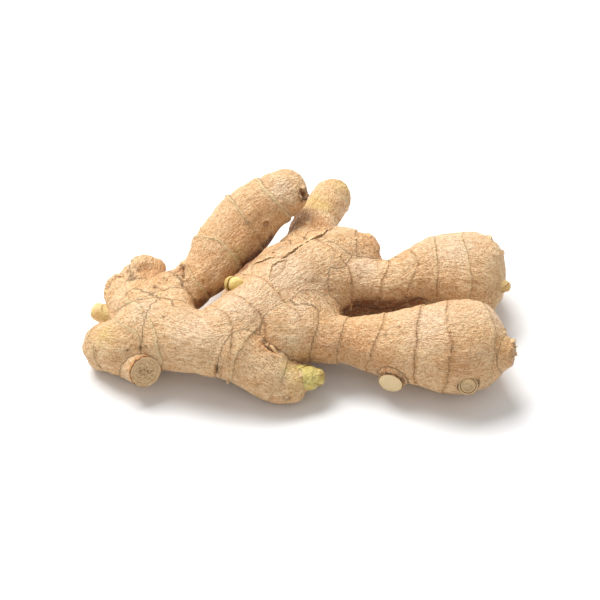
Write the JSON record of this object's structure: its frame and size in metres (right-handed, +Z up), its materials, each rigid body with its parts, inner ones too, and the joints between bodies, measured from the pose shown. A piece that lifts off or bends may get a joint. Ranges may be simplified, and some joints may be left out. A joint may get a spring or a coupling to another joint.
{
  "type": "ginger root",
  "caption": "Fresh ginger rhizome with a knobbly palm, a thick trunk and blunt fingers, lying on its side on a table.",
  "frame": {"origin": "centre of the root's box, at the height of the surface it rests on", "axes": "+X from the palm to the two thick fingers, +Y to the back, +Z up"},
  "size_m": [0.1378, 0.0926, 0.0376],
  "materials": {
    "skin": "thin matt tan skin with fine fibres, rings and scars",
    "cut_face": "dry fibrous face where a stem or side root was cut off",
    "bud": "smooth waxy yellow-green bud",
    "dry_scale": "thin dry papery scale leaf and rootlet"
  },
  "bodies": {
    "root": {"ginger_root": "skin"}
  },
  "joints": []
}
